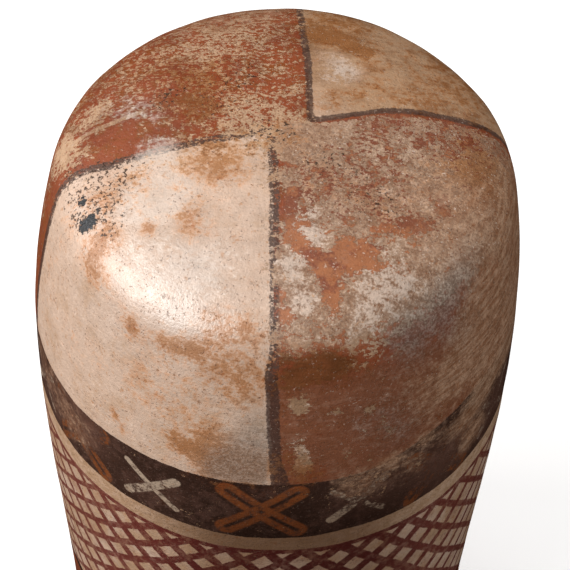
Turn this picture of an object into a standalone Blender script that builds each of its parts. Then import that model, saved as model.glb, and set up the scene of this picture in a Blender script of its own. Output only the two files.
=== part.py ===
"""Painted pottery vessel, turned over so that it stands on its mouth with its painted base up.

One fired-clay solid, hollow and open at the mouth, at its real size in metres. The origin is the
centre of the mouth, on the plane that the rim stands on, and +Z points towards the base.
The outer outline is the wall line, which swells from the base to the widest ring and then narrows
to the mouth, rounded off into the base by a superellipse. The inner outline keeps the wall's
thickness from it, measured square to the surface.
"""
import math

import bpy

# Height from the rim to the worn flat on the base
HEIGHT = 0.2150
# Outer radius at the widest ring, and how far that ring lies from the base
WIDEST_RADIUS = 0.0650
WIDEST_DEPTH = 0.0660
# Outer radius at the mouth
MOUTH_RADIUS = 0.0570
# Outer radius that the wall line would have at the base if the shoulder weren't rounded
BASE_LINE_RADIUS = 0.0567
# How far down from the base the rounded shoulder reaches
SHOULDER_DEPTH = 0.0307
# Exponents of the shoulder's superellipse: how flat the base is, and how full the turn is
BASE_FLATNESS = 6.1
SHOULDER_FULLNESS = 1.9
# Radius of the small flat that use has worn on the base
WORN_FLAT_RADIUS = 0.0122
# Thickness of the wall, and of the base at its centre
WALL = 0.0050
BASE_THICKNESS = 0.0070
# Radius of the rim's two rounded edges
RIM_ROUND = 0.0016

# Numbers of straight steps around the turned solid and along each stretch of its outline
TURN_STEPS = 64
OUTER_SHOULDER_STEPS = 18
OUTER_WALL_STEPS = 12
INNER_SHOULDER_STEPS = 11
INNER_WALL_STEPS = 8
RIM_ROUND_STEPS = 3

RIGHT_ANGLE = math.pi / 2
MERGE_DISTANCE = 0.00001


def wall_line(depth):
    """Outer radius of the wall line at a depth below the base: a parabola down to the widest
    ring, then half a cosine wave down to the mouth, so that it leaves the mouth upright."""
    if depth < WIDEST_DEPTH:
        share = (WIDEST_DEPTH - depth) / WIDEST_DEPTH
        return WIDEST_RADIUS - (WIDEST_RADIUS - BASE_LINE_RADIUS) * share ** 2
    share = (depth - WIDEST_DEPTH) / (HEIGHT - WIDEST_DEPTH)
    return WIDEST_RADIUS - (WIDEST_RADIUS - MOUTH_RADIUS) * (1 - math.cos(math.pi * share)) / 2


def shoulder_point(angle):
    """Radius and depth of the shoulder's superellipse at an angle from the base's centre."""
    depth = SHOULDER_DEPTH * (1 - math.cos(angle) ** (2 / BASE_FLATNESS))
    return wall_line(depth) * math.sin(angle) ** (2 / SHOULDER_FULLNESS), depth


def worn_flat_angle():
    """Angle at which the shoulder reaches the worn flat's radius, found by halving the range."""
    low, high = 0.0, RIGHT_ANGLE
    for _ in range(40):
        middle = (low + high) / 2
        if shoulder_point(middle)[0] < WORN_FLAT_RADIUS:
            low = middle
        else:
            high = middle
    return low


def outer_outline(shoulder_steps, wall_steps, last_height):
    """Points (radius, height) from the worn flat's edge over the shoulder and down the wall.

    The angle runs to a right angle as 1 - (1 - u) ** (BASE_FLATNESS / 2), with u in even steps,
    so that the points stay evenly spread where the superellipse turns fast."""
    spread = BASE_FLATNESS / 2
    flat_angle = worn_flat_angle()
    flat_depth = shoulder_point(flat_angle)[1]
    first_u = 1 - (1 - flat_angle / RIGHT_ANGLE) ** (1 / spread)
    points = []
    for step in range(shoulder_steps + 1):
        u = first_u + (1 - first_u) * step / shoulder_steps
        radius, depth = shoulder_point(RIGHT_ANGLE * (1 - (1 - u) ** spread))
        points.append((radius, HEIGHT - (depth - flat_depth)))
    shoulder_foot = points[-1][1]
    for step in range(1, wall_steps + 1):
        height = shoulder_foot + (last_height - shoulder_foot) * step / wall_steps
        points.append((wall_line(HEIGHT + flat_depth - height), height))
    return points


def inward(points, index):
    """Unit direction square to an outline at one of its points, towards the clay's inside."""
    before = points[max(index - 1, 0)]
    after = points[min(index + 1, len(points) - 1)]
    along_radius, along_height = after[0] - before[0], after[1] - before[1]
    length = math.hypot(along_radius, along_height)
    return along_height / length, -along_radius / length


def inner_outline():
    """Points (radius, height) from the mouth up the inner wall to the base, the clay's thickness
    inside the outer outline. The thickness grows from the wall's to the base's with the square
    of the share that the surface faces up."""
    outer = outer_outline(INNER_SHOULDER_STEPS, INNER_WALL_STEPS, RIM_ROUND)
    inner = []
    for index, (radius, height) in enumerate(outer):
        towards_axis, upwards = inward(outer, index)
        thickness = WALL + (BASE_THICKNESS - WALL) * upwards ** 2
        inner.append((radius + thickness * towards_axis, height + thickness * upwards))
    inner[0] = (WORN_FLAT_RADIUS, HEIGHT - BASE_THICKNESS)
    inner[-1] = (MOUTH_RADIUS - WALL, RIM_ROUND)
    return inner[::-1]


def rim_edge(centre_radius, start_angle):
    """Points of one rounded rim edge: a quarter circle of RIM_ROUND that turns clockwise."""
    points = []
    for step in range(RIM_ROUND_STEPS + 1):
        angle = start_angle - RIGHT_ANGLE * step / RIM_ROUND_STEPS
        radius = centre_radius + RIM_ROUND * math.cos(angle)
        points.append((radius, RIM_ROUND + RIM_ROUND * math.sin(angle)))
    return points


def vessel_profile():
    """Closed half section at +X: down the outside from the base's centre, round the rim and up
    the inside to the axis again."""
    outside = outer_outline(OUTER_SHOULDER_STEPS, OUTER_WALL_STEPS, RIM_ROUND)
    outer_edge = rim_edge(MOUTH_RADIUS - RIM_ROUND, 0.0)
    inner_edge = rim_edge(MOUTH_RADIUS - WALL + RIM_ROUND, -RIGHT_ANGLE)
    inside = inner_outline()
    base_centre = [(0.0, HEIGHT)]
    inner_centre = [(0.0, HEIGHT - BASE_THICKNESS)]
    return base_centre + outside[:-1] + outer_edge + inner_edge[:-1] + inside + inner_centre


def fired_clay():
    """Low-fired earthenware under worn red and cream slip: matt, with a slight burnish."""
    material = bpy.data.materials.new("painted_earthenware")
    material.use_nodes = True
    shader = material.node_tree.nodes["Principled BSDF"]
    shader.inputs["Base Color"].default_value = (0.50, 0.26, 0.16, 1.0)
    shader.inputs["Roughness"].default_value = 0.55
    shader.inputs["Metallic"].default_value = 0.0
    return material


def make_vessel(collection):
    """The whole vessel: its half section turned about the upright axis."""
    profile = vessel_profile()
    corners = [(radius, 0.0, height) for radius, height in profile]
    edges = [(index, index + 1) for index in range(len(corners) - 1)]
    mesh = bpy.data.meshes.new("vessel")
    mesh.from_pydata(corners, edges, [])
    vessel = bpy.data.objects.new("vessel", mesh)
    vessel.data.materials.append(fired_clay())
    collection.objects.link(vessel)
    turn = vessel.modifiers.new("turned_on_the_axis", "SCREW")
    turn.axis = "Z"
    turn.angle = 2 * math.pi
    turn.steps = TURN_STEPS
    turn.render_steps = TURN_STEPS
    turn.use_merge_vertices = True
    turn.merge_threshold = MERGE_DISTANCE
    turn.use_smooth_shade = True
    return vessel


def main():
    for old in list(bpy.data.objects):
        bpy.data.objects.remove(old, do_unlink=True)
    collection = bpy.data.collections.new("painted_pottery_vessel")
    bpy.context.scene.collection.children.link(collection)
    make_vessel(collection)


main()
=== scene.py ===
import math
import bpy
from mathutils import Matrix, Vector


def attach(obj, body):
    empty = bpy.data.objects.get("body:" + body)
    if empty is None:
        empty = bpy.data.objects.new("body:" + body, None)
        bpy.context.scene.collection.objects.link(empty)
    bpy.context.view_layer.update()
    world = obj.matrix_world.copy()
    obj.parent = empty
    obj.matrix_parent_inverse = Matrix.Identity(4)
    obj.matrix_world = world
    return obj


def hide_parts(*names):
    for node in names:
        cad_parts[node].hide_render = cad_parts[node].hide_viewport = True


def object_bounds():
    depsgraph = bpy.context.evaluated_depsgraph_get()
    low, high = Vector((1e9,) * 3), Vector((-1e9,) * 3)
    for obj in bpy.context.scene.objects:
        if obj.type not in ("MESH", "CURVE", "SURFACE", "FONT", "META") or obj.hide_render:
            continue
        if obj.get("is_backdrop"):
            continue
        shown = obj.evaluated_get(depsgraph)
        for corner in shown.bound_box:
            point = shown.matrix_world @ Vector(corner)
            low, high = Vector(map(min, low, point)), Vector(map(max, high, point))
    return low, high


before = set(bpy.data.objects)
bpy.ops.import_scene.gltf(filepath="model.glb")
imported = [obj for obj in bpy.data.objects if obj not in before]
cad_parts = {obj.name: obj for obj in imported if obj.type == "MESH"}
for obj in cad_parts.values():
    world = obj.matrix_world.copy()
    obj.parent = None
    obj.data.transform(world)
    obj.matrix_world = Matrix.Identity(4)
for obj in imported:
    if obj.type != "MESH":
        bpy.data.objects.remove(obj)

from types import SimpleNamespace

import bpy
import numpy as np
from bpy.props import FloatProperty, FloatVectorProperty, IntProperty, PointerProperty
from mathutils import Matrix

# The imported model's own box, kept before anything is added
CAD_LOW, CAD_HIGH = (tuple(corner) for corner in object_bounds())

bl_info = {
    "name": "Painted pottery vessel",
    "version": (1, 0, 0),
    "blender": (4, 5, 0),
    "location": "View3D > Sidebar > Vessel",
    "description": "Slip-painted clay beaker that stands on its mouth, with its worn painted base up",
    "category": "Object",
}

MILLIMETRE = 0.001
IMAGE_WIDTH = 570
SENSOR_WIDTH = 36.0

# Points across half the worn flat and round each edge of the rim
FLAT_ROWS = 10
RIM_ROWS = 5
# In metres: the heights, and the radii, over which the unevenness of the wall sets in, and the
# depths below the base over which the lean of the base fades out
UNEVEN_FROM_HEIGHT = (0.004, 0.02)
UNEVEN_FROM_RADIUS = (0.006, 0.02)
LEAN_DEPTHS = (0.015, 0.065)

# The painted pattern: depths below the base and lengths, in millimetres. The front line of the
# back right quarter lies behind the middle and steps back once, between two places in x
RIGHT_LINE_Y = 6.0
RIGHT_LINE_STEP = 6.0
RIGHT_LINE_FROM = 6.0
RIGHT_LINE_TO = 32.0
BAND_TOP = 61.6
BAND_RISE_RIGHT = 9.0
BAND_RADIUS = 64.5
STRIPE_TOP = 83.4
STRIPE_SAG = 2.1
STRIPE_SAG_RADIUS = 65.0
NET_TOP = 91.15
NET_FIRST_LINE = 92.0
NET_EDGE_LINE = 93.8
NET_FOOT = 158.2
COLLAR_TOP = 161.0
CROSS_DEPTH = 73.6
CROSS_HALF_LENGTH = 9.6
LOOP_EXTRA_LENGTH = 2.7
LOOP_RADIUS = 1.8
CROSS_LEAN = math.radians(41.5)
NET_LINES = 40.0
NET_SPACING = 7.0
# Where the crosses of the dark band stand, in degrees from the front, to the right, and how far
# apart their UV maps lie
CROSS_TURNS = (-157, -135, -113, -91, -70, -50, -28, -1, 22, 44, 67, 90, 112, 135, 158, 180)
CROSS_STEP = 100.0

# Tints that lie over the slips. The ones called tint multiply the colour under them
RUBBED_RED = (0.35, 0.175, 0.11)
SCORCHED_RED = (0.22, 0.065, 0.022)
PALE_CREAM = (0.80, 0.64, 0.54)
PEACH_CREAM = (0.60, 0.36, 0.235)
LOW_OUTLINE = (0.085, 0.038, 0.026)
WORN_BAND = (0.135, 0.062, 0.042)
CREAM_CROSS = (0.57, 0.43, 0.315)
# Painted shade that darkens the stripe towards the front
STRIPE_PAINTED_SHADE = (0.20, 0.102, 0.052)
NET_SMEAR = (0.40, 0.19, 0.13)
NET_SIDE_RED = (0.27, 0.075, 0.050)
VEIN_PALE = (0.58, 0.45, 0.36)
LIME_FILM = (0.64, 0.50, 0.41)
# Pale bloom of lime, which on the cream quarter is partly a painted highlight
LIME_BLOOM_AND_HIGHLIGHT = (0.80, 0.69, 0.61)
ISLAND_ORANGE = (0.44, 0.175, 0.078)
ISLAND_RED = (0.27, 0.085, 0.048)
ISLAND_BROWN = (0.23, 0.075, 0.040)
OCHRE_TINT = (0.92, 0.68, 0.46)
FRONT_OCHRE_TINT = (0.92, 0.63, 0.41)
DEEP_OCHRE = (0.27, 0.110, 0.036)
GOLDEN_BROWN = (0.115, 0.040, 0.010)
DARK_DUST = (0.32, 0.150, 0.075)
PALE_DUST = (0.56, 0.345, 0.220)
BLOT_TINT = (0.86, 0.64, 0.45)
# Grey soot colours, also used as painted shade near the foot of the front outline
DARK_SOOT_AND_SHADE = (0.17, 0.140, 0.120)
PALE_SOOT_AND_SHADE = (0.37, 0.320, 0.28)
PIT_BROWN = (0.21, 0.095, 0.052)
CRUMB_PALE = (0.76, 0.62, 0.52)
# Darkens the lower front wall: partly grime, partly painted shade
GRIME_AND_SHADE_TINT = (0.60, 0.54, 0.49)
SPECK_BROWN = (0.055, 0.030, 0.018)
CRUST_BLACK = (0.018, 0.019, 0.022)
# Bluish painted highlight on the black crusts
CRUST_PAINTED_SHEEN = (0.050, 0.059, 0.074)
INSIDE_CLAY = (0.36, 0.22, 0.14)
INSIDE_BROWN = (0.20, 0.12, 0.08)
INSIDE_STREAK = (0.16, 0.10, 0.07)

# The stage, in metres. Each light has its direction from the shoulder, the direction of its long
# side, and its sides
FLOOR_SIZE = 6.0
FLOOR_GAP = 0.0002
FLOOR_GREY = (0.85, 0.85, 0.85, 1.0)
WHITE = (1.0, 1.0, 1.0, 1.0)
SHOULDER_DEPTH = 0.03
LIGHTS = (
    ("side_light", (-0.77, -0.34, 0.48), (0.25, -0.77, -0.33), (1.15, 0.45)),
    ("top_light", (-0.25, 0.50, 0.83), (1.0, 0.0, 0.0), (0.60, 0.60)),
    ("fill_light", (0.75, -0.35, 0.55), (0.0, 0.0, 1.0), (0.90, 0.90)),
)

# Soft round patches: x and y from the axis, depth below the base and size, in millimetres, and strength
# in hundredths. First, where the slip has worn away
WORN_PATCHES = (
    (3, 1, 0, 8, 30), (-10, 9, 1, 5, 10), (-13, 6, 1, 5, 8), (-5, -15, 1, 5, 15), (-47, 12, 5, 2.5, 35),
    (-51, 8, 6, 2.5, 30), (-56, 3, 10, 3, 30), (8, -32, 2, 1.6, 50), (4, -41, 3, 2.4, 50),
    (5, -44, 4, 3.5, 50), (7, -48, 6, 3.5, 45), (11, -33.5, 3, 1.6, 50), (22, -46, 6, 5, 35),
    (18, -52, 9, 3, 30), (35, -12, 3, 6, 20), (43, -9, 5, 5, 20), (24, -56, 17, 4, 25),
    (5, -58, 14, 4, 20), (38, -36, 8, 6, 25), (30, -44, 8, 5, 25), (48, -22, 8, 6, 20),
    (10, -57, 15, 5, 12), (22, -26, 2, 4, 15), (20, -62, 67, 3.5, 25), (24, -60, 62, 4, 28),
    (30, -57, 66, 3, 23), (37, -53, 58, 4, 20), (43, -48, 57, 4, 17), (30, -58, 72, 2.5, 25),
    (40, -51, 66, 2.5, 20), (54, -34, 52, 6, 12), (27, -58, 55, 5, 12), (63, -8, 40, 12, 20),
    (59, -22, 30, 7, 20), (57, -18, 16, 7, 30), (59, -4, 17, 7, 25), (7.4, -63, 31, 2.1, 95),
    (8, -63, 33, 1.5, 70), (8.3, -64, 43, 1.1, 60), (8.2, -64, 48, 2, 90), (9, -64, 53, 1.8, 90),
    (8.8, -64, 56, 1.5, 75), (17, -61, 35, 1.3, 70), (21, -60, 38, 1, 50), (25, -58, 37, 1.1, 60),
    (29, -57, 42, 1, 60), (15, -62, 39, 0.9, 50), (20, -61, 52, 1.2, 25), (24, -59, 44, 1, 50),
    (31, -56, 48, 1.8, 40), (35, -54, 47, 1.6, 40), (-60, -32, 138, 12, 35), (-20, -62, 84, 4, 25),
    (-52, -39, 75, 4, 30), (-1, -14, 1, 3, 25), (16, 3, 1, 5, 10), (-52, -5, 7, 4, 25),
    (-56, -4, 12, 4, 25), (-20, 40, 5, 10, 12), (-8, 48, 7, 8, 12), (8, -25, 1, 3, 15),
    (-22, 28, 3, 8, 5), (-16, 35, 3, 7, 5), (-32, 24, 3, 6, 4), (6, -59, 14, 4, 12),
    (14, -58, 15, 4, 10), (22, -56, 18, 5, 14), (31, -52, 20, 5, 12), (3, -58, 13, 3, 12),
)
# Islands where it has held in the worn quarters
KEPT_PATCHES = (
    (1.5, -20, 1, 2, 50), (2, -24, 1, 2, 60), (3, -28, 2, 1.8, 52), (5, -33, 2, 2, 60),
    (8, -37, 3, 2.2, 69), (11, -40, 4, 2.5, 77), (13, -44, 5, 2.3, 69), (14, -47, 6, 2.2, 60),
    (16, -37, 3, 2.2, 60), (20, -35, 3, 2.2, 56), (23, -34, 3, 1.6, 40), (26, -32.5, 3, 1.3, 30),
    (18, -40, 4, 2.2, 60), (22, -38, 4, 1.8, 40), (25, -39, 5, 1.4, 40), (15, -51, 8, 2, 52),
    (24, -28.5, 3, 1, 69), (28, -27.3, 3, 1.4, 77), (32, -25.8, 4, 1.6, 77), (35, -24.8, 4, 1.6, 77),
    (39, -24.4, 5, 1.1, 69), (41, -17, 5, 1.9, 86), (30, 5, 2, 3, 15), (36, 3.5, 3, 4, 15),
    (44, 3, 4, 4, 18), (50, 0, 6, 4, 15), (16, -3, 1, 4, 8), (24, -4, 1, 4, 10), (21, -14, 1, 4, 15),
    (30, -8, 2, 4, 6), (5, -11, 0, 4, 15), (10, -18, 1, 4, 15), (22, 5, 1, 3, 10), (3, -17, 1, 3, 20),
    (-50, -2, 6, 3.5, 10), (-45, -2.5, 4, 3.2, 35), (-40, -1, 3, 3, 35), (-35, 2, 3, 3, 30),
    (-28, -2, 2, 4, 12), (-40, 12, 4, 3, 12), (10, -58, 15, 2.5, 40), (16, -54, 11, 1.8, 40),
    (2, -52, 8, 1.5, 40), (2.5, -57, 13, 2, 50), (2.5, -48, 6, 1.8, 50), (3, -53, 9, 2, 52),
    (41, -20, 5, 1.3, 69),
)
# Grey soot, which near the foot of the front outline is partly painted shade
SMOKE_AND_SHADE_PATCHES = (
    (44, -38, 12, 4, 63), (39, -43, 14, 4, 63), (33, -48, 15, 4, 54), (28, -51, 14, 4, 41),
    (47, -33, 12, 4, 50), (50, -26, 9, 4, 36), (53, -14, 9, 5, 32), (41, -44, 20, 5, 41),
    (33, -51, 21, 5, 41), (48, -40, 26, 7, 32), (16, -38, 4, 3, 20), (12, -24, 2, 5, 25),
    (20, -27, 2, 4, 25), (-3.5, -26, 2, 3, 30), (-3, -34, 3, 3, 25), (-4, -46, 6, 3, 30),
    (-3, -62, 34, 5, 40), (-3, -64, 44, 5, 45), (-4, -64, 54, 6, 40), (-7, -21, 2, 7, 12),
    (28, -57, 40, 8, 30), (34, -54, 50, 7, 30), (-47, 30, 12, 8, 10), (45, 12, 5, 4, 27),
    (34, -37, 9, 4, 18), (28, -43, 9, 4, 30), (-4, -64, 60, 6, 70), (-11, -63, 62, 5, 60),
    (-3, -64, 50, 5, 40), (-3, -57, 15, 3, 30), (-6, -64, 46, 5, 30), (-11, -64, 55, 6, 35),
)
# Ochre and brown stains
OCHRE_PATCHES = (
    (-46, -35, 13, 2.5, 36), (-42, -40, 14, 2.5, 30), (-36, -49, 19, 1.8, 48), (-34, -50, 18, 3, 18),
    (-28, -54, 18, 3, 27), (-20, -57, 17, 3, 30), (-15, -58, 16, 3, 30), (-8, -57, 12, 4, 24),
    (-32, -29, 4, 1.1, 54), (-22, -25, 2, 2.5, 22), (-19, -31, 3, 2.5, 24), (-23, -29, 3, 2, 27),
    (-50, -22, 9, 5, 27), (-43, -22, 7, 5, 27), (-38, -16, 3, 4, 27), (-34, -12, 3, 3, 33),
    (-20, -7, 2, 6, 27), (-12, -5, 1, 5, 30), (-16, -12, 2, 6, 15), (-58, -25, 20, 4, 21),
    (-60, -22, 30, 5, 18), (-39, -51, 53, 1.8, 55), (-37, -52, 56, 1.8, 50), (-24, -60, 48, 1.6, 50),
    (-22, -61, 52, 2, 50), (-8, -64, 58, 10, 18), (-12, -63, 48, 5, 18), (-6, -62, 28, 5, 27),
    (-30, -57, 40, 8, 12), (-52, -38, 45, 7, 15), (8, 39, 3, 2, 68), (12, 38, 3, 2.2, 85),
    (16, 36, 3, 2.2, 85), (20, 34, 3, 2.2, 77), (10, 28, 3, 3, 34), (23, 29, 3, 3, 51),
    (23, 19, 2, 3.5, 51), (11, 13, 1, 3, 42), (16, 15, 1, 3, 34), (32, 17, 3, 5, 34),
    (45, 30, 12, 8, 34), (0, 3, 0, 4, 23), (3, -2, 0, 3, 26), (-4, 0, 0, 3, 19), (10, 50, 8, 6, 42),
    (24, 48, 12, 6, 34), (36, 42, 14, 6, 30), (-24, 20, 2, 4, 51), (-21, 14, 1, 4, 51),
    (-18, 22, 1, 3, 42), (-13, 15, 1, 3, 30), (-16, 28, 2, 3, 30), (-25, 10, 2, 4, 42),
    (-19, 8, 1, 3, 34), (-36, 20, 3, 5, 30), (-36, 30, 5, 6, 26), (3, -59, 15, 3, 42),
    (9, -58, 19, 3, 85), (15, -57, 19, 3, 68), (5, -61, 24, 2.5, 59), (12, -59, 22, 4, 51),
    (20, -57, 22, 4, 42), (4, -63, 37, 2, 42), (5, -63, 50, 2.5, 59), (9, -63, 57, 3, 59),
    (11, -62, 60, 3, 42), (62, -14, 34, 6, 26), (32, -56, 58, 4, 34), (20, -22, 2, 6, 19),
    (28, -19, 3, 6, 19), (9, -12, 1, 7, 22), (36, -10, 3, 6, 14), (-14, -64, 52, 6, 30),
    (-18, -58, 30, 10, 12), (-30, -54, 34, 9, 12), (-12, -58, 20, 7, 12), (50, -8, 6, 8, 25),
    (56, -14, 11, 6, 30), (-46, -36, 13, 3, 23), (-48, -33, 12, 2.5, 19), (-45, -38, 13, 2, 17),
    (-35, -49, 20, 2.2, 32), (-28, -54, 19, 2, 27), (-25, -55, 19, 2.2, 34), (-22, -56, 18, 2, 32),
    (-19, -57, 18, 2, 25), (-16, -54, 10, 4, 17), (-12, -56, 11, 4, 17), (-6, -55, 10, 4, 15),
    (-9, -61, 23, 4, 15), (-4, -61, 22, 4, 17), (-14, -60, 23, 3, 13), (-23, -25, 2, 4, 17),
    (-20, -33, 3, 4, 15), (-32, -30, 4, 2, 25), (-34, -23, 4, 2, 17), (-39, -45, 14, 3, 13),
    (-51, -38, 39, 3, 15), (-44, -46, 38, 3, 15), (-14, -16, 1, 6, 13), (-23, -12, 1, 5, 17),
    (-41, -4, 4, 4, 13), (-49, -1, 6, 3, 13), (48, -6, 6, 6, 22), (54, -5, 9, 7, 35), (52, 4, 7, 6, 25),
    (56, -14, 12, 6, 25), (11, 47, 5, 6, 35), (20, 42, 5, 6, 20), (40, 29, 6, 8, 20), (47, 21, 7, 8, 25),
    (-47, -30, 9, 2.5, 26), (-45, -32, 9, 2.5, 30), (-43, -31, 8, 2.5, 26), (-40, -33, 7, 2.5, 20),
    (-46, -34, 11, 2.5, 26), (-32, -30, 4, 1.6, 34), (-41, -29, 7, 2.5, 24), (-14, -63, 55, 6, 42),
    (-9, -64, 55, 6, 46), (-3, -65, 55, 4, 46), (5, -61, 22, 1.8, 42), (7, -60, 21, 2, 55),
    (10, -60, 19, 2, 55), (13, -59, 18, 2, 50), (16, -58, 18, 1.6, 36),
)
# Clusters of black specks
SPECK_PATCHES = (
    (-52, -17, 8, 2.5, 100), (-47, -16, 6, 3, 100), (-42, -14, 5, 3, 100), (-49, -20, 7, 3, 100),
    (-46, -24, 7, 2.5, 100), (-42, -23, 6, 2.5, 100), (-41, -28, 7, 2, 90), (-51, -24, 10, 2, 80),
    (-37, -13, 4, 2.5, 80), (-40, -19, 5, 2, 70), (-54, -10, 8, 2.2, 90), (-49, -10, 7, 2, 90),
    (-44, -9.5, 5, 2, 90), (-39, -9, 4, 2, 80), (-34, -8.5, 3, 2, 60), (-43, -32, 10, 2, 50),
    (-28, 16, 3, 2.2, 100), (-31, 12, 3, 2.2, 100), (-7, -4, 1, 2, 80), (-5, 2, 0, 2, 70),
    (24, -20, 2, 6, 50), (12, -8, 1, 6, 50), (-1, 1, 0, 3, 80), (-16, 10, 1, 5, 50), (-12, 22, 1, 6, 50),
)
# Pale brown scuffs, most of them on the right of the shoulder and the band
DUSTY_PATCHES = (
    (55, -33, 58, 4, 90), (51, -39, 62, 3.5, 70), (58, -27, 55, 5, 90), (61, -18, 54, 6, 90),
    (47, -44, 63, 3, 50), (63, -8, 52, 8, 80), (50, -40, 34, 7, 45), (57, -28, 30, 7, 50),
    (60, -18, 40, 9, 60), (54, -34, 45, 7, 55), (47, -42, 38, 7, 50), (40, -48, 45, 6, 45),
    (36, -53, 34, 6, 25), (62, -8, 26, 9, 50), (-52, -40, 72, 7, 35), (-60, -24, 66, 8, 31),
    (21, -61, 64, 4, 45), (27, -59, 68, 4, 35), (33, -55, 62, 3, 40), (30, -57, 60, 3, 40),
    (41, -50, 58, 3, 50), (38, -52, 68, 4, 35), (55, -20, 14, 6, 70), (50, -32, 17, 6, 60),
    (58, -8, 15, 7, 70), (57, -24, 22, 7, 50), (60, 6, 18, 7, 50), (36, -15, 4, 7, 25),
    (46, -16, 7, 7, 40), (40, -30, 7, 6, 30), (-8, 50, 9, 8, 40), (-22, 46, 9, 8, 35),
    (-2, 56, 13, 6, 40), (52, -38, 24, 6, 40), (55, -35, 73, 5, 50), (53, -38, 74, 4, 40),
)
# The gloss of the burnished cream shoulder
POLISHED_PATCHES = (
    (-30, -40, 12, 14, 100), (-14, -48, 12, 11, 80), (-46, -18, 9, 9, 50), (-12, -30, 3, 10, 40),
    (-36, 10, 4, 9, 40), (-45, -40, 30, 9, 40),
)
# Where the band and its crosses have faded
FADED_PATCHES = (
    (45, -46, 73, 9, 90), (60, -25, 73, 9, 85), (26, -59, 70, 8, 72), (-24, -60, 74, 3, 50),
    (-61, -22, 72, 6, 60), (-48, -43, 70, 6, 60), (-34, -55, 78, 4, 40), (-52, -40, 64, 8, 40),
    (-56, -32, 72, 8, 40), (-48, -46, 66, 6, 30),
)
# Thick black crusts on the cream quarter
BLACK_CRUST_PATCHES = (
    (-49.2, -18.2, 8, 1.3, 85), (-48.2, -25.5, 8.5, 1.7, 95), (-46.6, -24, 7.5, 1.4, 70),
    (-50, -25.5, 9.2, 1.2, 60), (-44.5, -21.5, 6.3, 0.8, 50), (-44, -9.6, 5, 1, 45),
    (-40, -9.4, 4, 0.9, 40),
)
# Pale lime, which on the cream quarter is partly a pale painted highlight
LIME_AND_HIGHLIGHT_PATCHES = (
    (7, -49, 6, 3.5, 80), (4, -40, 3, 3, 80), (5, -30, 2, 2.5, 80), (9, -32, 2, 2.5, 70),
    (23, -46, 7, 5, 30), (16, -55, 12, 5, 17), (33, -14, 3, 8, 20), (6, -58, 13, 4, 25),
    (23, -53, 11, 4, 30), (43, -12, 5, 6, 20), (36, -32, 5, 6, 20), (-16, 22, 1, 7, 15),
    (-40, 14, 4, 5, 25), (30, -42, 7, 5, 45), (26, -16, 2, 4, 30), (5, -64, 44, 8, 60),
    (12, 29, 3, 3.5, 50), (18, 25, 2, 4, 40), (14, 22, 2, 4, 30), (-30, -22, 3, 6, 60),
    (-22, -17, 2, 5, 60), (-24, -44, 9, 8, 50), (-38, 10, 4, 5, 15), (-33, 5, 3, 4, 17),
    (8, -25, 1, 3, 50), (-32, -17, 3, 4, 80), (-35, -20, 3, 3.5, 80), (-30, -23, 3, 3.5, 75),
    (-28, -20, 2, 3, 60), (-38, -25, 5, 3, 50), (-49, -28, 10, 2.5, 50), (-18, -40, 4, 6, 60),
    (-23, -53, 12, 5, 60), (-31, -40, 6, 6, 20), (-35, -34, 6, 4, 20), (28, -42, 6, 4, 18),
    (24, -45, 7, 4, 14), (-32, -8, 2, 4, 60), (-33, -11, 2, 3.5, 60), (-29, -6, 2, 3, 50),
    (-30, -14, 2, 3.5, 60),
)
# Shallow hollows, with their depth in hundredths of a millimetre in place of a strength
DENTS = (
    (-27, -12, 2, 7, 20), (-14, -26, 2, 9, 15), (-40, -30, 8, 8, 20), (34, -22, 4, 8, 15),
    (12, 22, 2, 10, 15), (37, 35, 10, 10, 75), (26, 42, 9, 9, 30), (-36, 32, 7, 10, 25),
    (27, -59, 62, 5, 30), (38, -52, 58, 5, 30), (6, -64, 50, 6, 10), (-20, -55, 16, 7, 15),
)

SOFT_FIELDS = {
    "smoke": SMOKE_AND_SHADE_PATCHES, "ochre": OCHRE_PATCHES, "specks": SPECK_PATCHES, "lime": LIME_AND_HIGHLIGHT_PATCHES,
    "dusty": DUSTY_PATCHES, "polished": POLISHED_PATCHES, "faded": FADED_PATCHES,
    "black_crust": BLACK_CRUST_PATCHES,
}


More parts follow.
